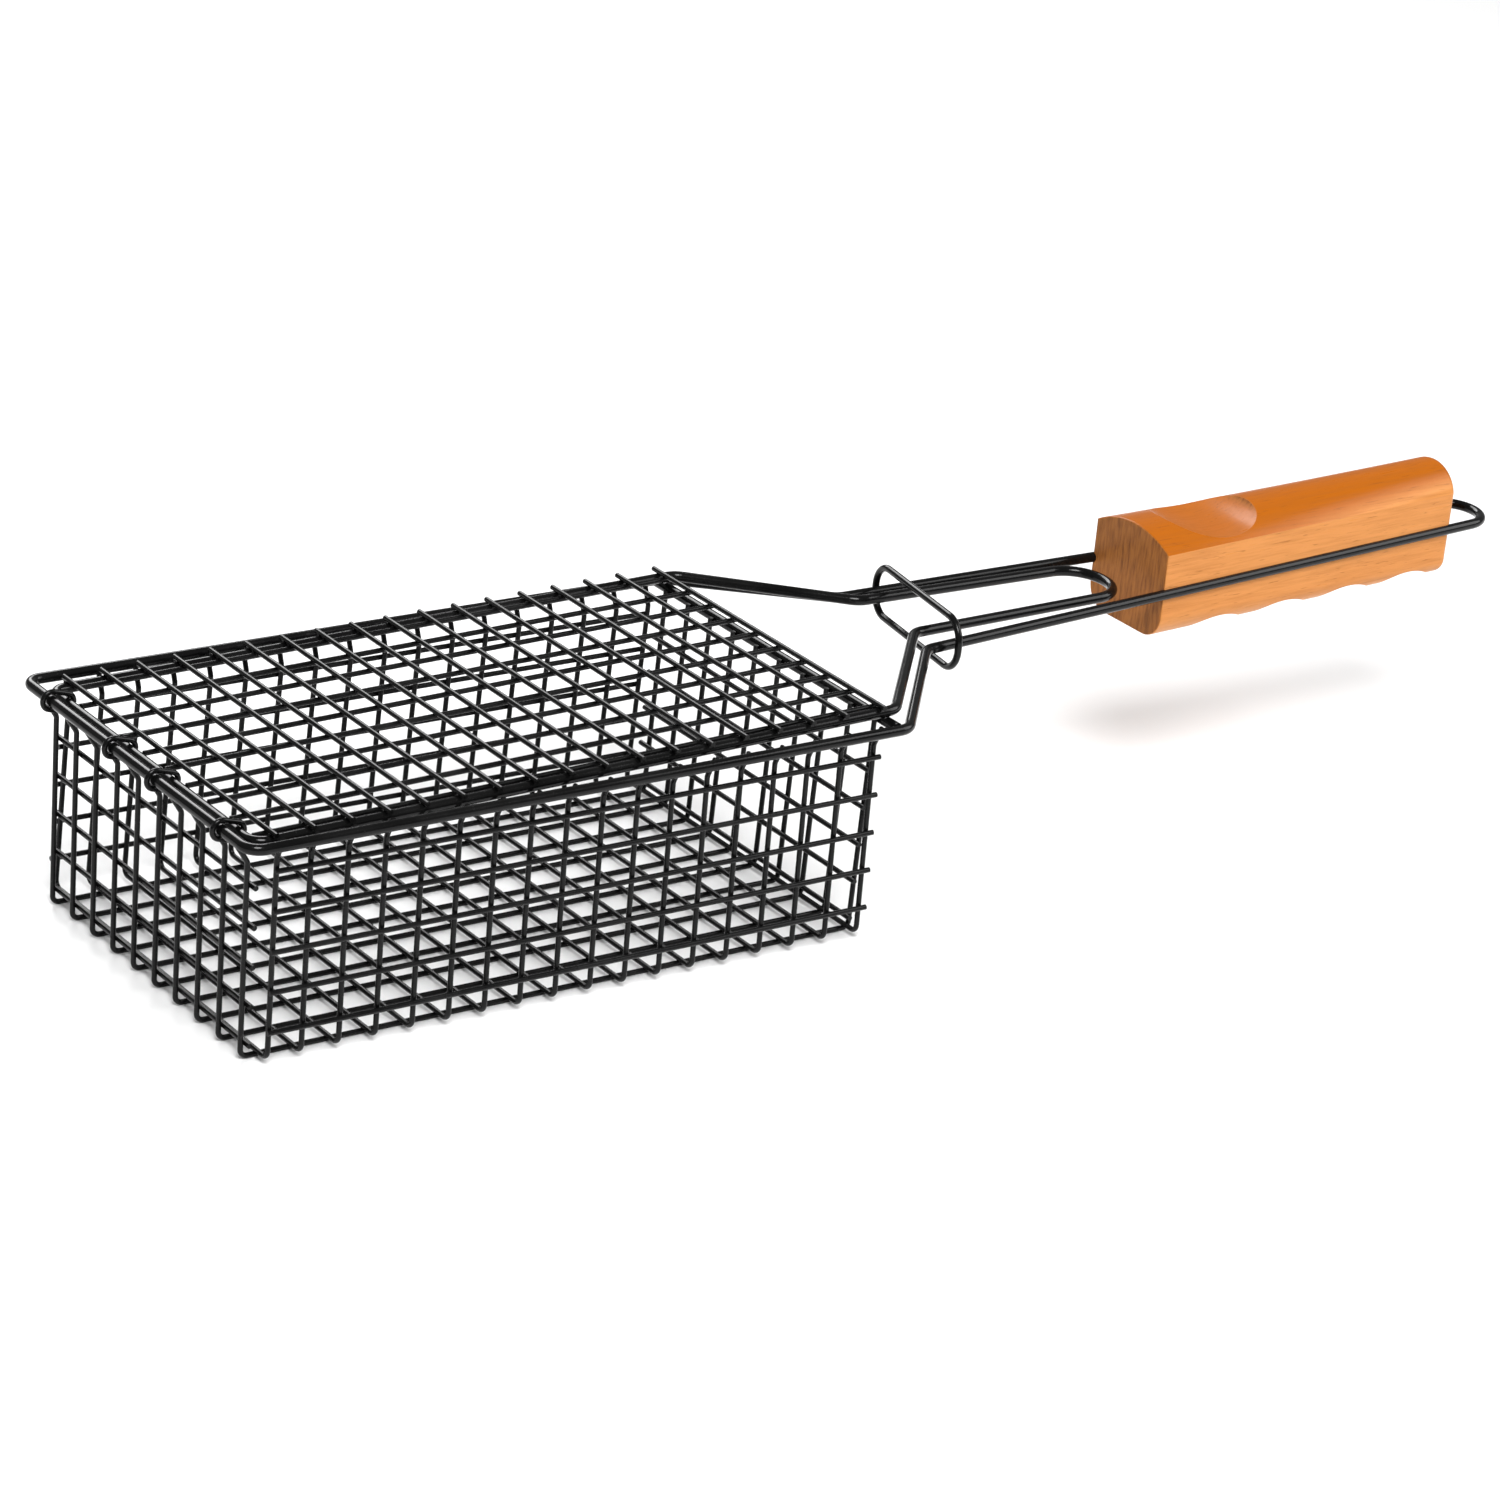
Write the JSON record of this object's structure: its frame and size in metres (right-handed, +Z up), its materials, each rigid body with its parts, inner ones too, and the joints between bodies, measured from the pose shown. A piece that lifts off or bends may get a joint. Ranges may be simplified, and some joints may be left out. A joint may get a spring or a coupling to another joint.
{
  "type": "grill basket",
  "caption": "Rectangular wire mesh grill basket with a hinged mesh lid, a two-wire handle with a wooden grip and a sliding wire ring that locks the lid.",
  "frame": {"origin": "centre of the basket's floor, on the plane the floor wires stand on", "axes": "+X from the hinge end to the wooden grip, +Y across the basket, +Z up"},
  "size_m": [0.5442, 0.1384, 0.1033],
  "materials": {
    "mesh_wire": "semi-gloss black non-stick coating on steel wire",
    "frame_wire": "semi-gloss black non-stick coating on steel wire",
    "small_wire": "semi-gloss black non-stick coating on steel wire",
    "grip_wood": "glossy varnish over orange-brown hardwood"
  },
  "bodies": {
    "basket": {"cross_wire_01": "mesh_wire", "cross_wire_02": "mesh_wire", "cross_wire_03": "mesh_wire", "cross_wire_04": "mesh_wire", "cross_wire_05": "mesh_wire", "cross_wire_06": "mesh_wire", "cross_wire_07": "mesh_wire", "cross_wire_08": "mesh_wire", "cross_wire_09": "mesh_wire", "cross_wire_10": "mesh_wire", "cross_wire_11": "mesh_wire", "cross_wire_12": "mesh_wire", "cross_wire_13": "mesh_wire", "cross_wire_14": "mesh_wire", "cross_wire_15": "mesh_wire", "cross_wire_16": "mesh_wire", "cross_wire_17": "mesh_wire", "cross_wire_18": "mesh_wire", "long_wire_01": "mesh_wire", "long_wire_02": "mesh_wire", "long_wire_03": "mesh_wire", "long_wire_04": "mesh_wire", "long_wire_05": "mesh_wire", "long_wire_06": "mesh_wire", "long_wire_07": "mesh_wire", "long_wire_08": "mesh_wire", "long_wire_09": "mesh_wire", "long_wire_10": "mesh_wire", "front_wall_wires": "mesh_wire", "back_wall_wires": "mesh_wire", "hinge_wall_wires": "mesh_wire", "end_wall_wires": "mesh_wire", "basket_frame_wire": "frame_wire", "basket_crossbar": "frame_wire", "grip": "grip_wood"},
    "lid": {"lid_frame_wire": "frame_wire", "lid_cross_wires": "mesh_wire", "lid_long_wires": "mesh_wire", "hinge_loop_1": "small_wire", "hinge_loop_2": "small_wire", "hinge_loop_3": "small_wire", "hinge_loop_4": "small_wire"},
    "ring": {"lock_ring": "small_wire"}
  },
  "joints": [
    {"name": "lid_hinge", "type": "hinge", "parent": "basket", "child": "lid", "pos_m": [-0.119, 0, 0.072], "axis": [0, -1, 0], "range_deg": [0, 180]},
    {"name": "ring_slide", "type": "slide", "parent": "basket", "child": "ring", "axis": [1, 0, 0], "range_m": [0, 0.086]}
  ]
}
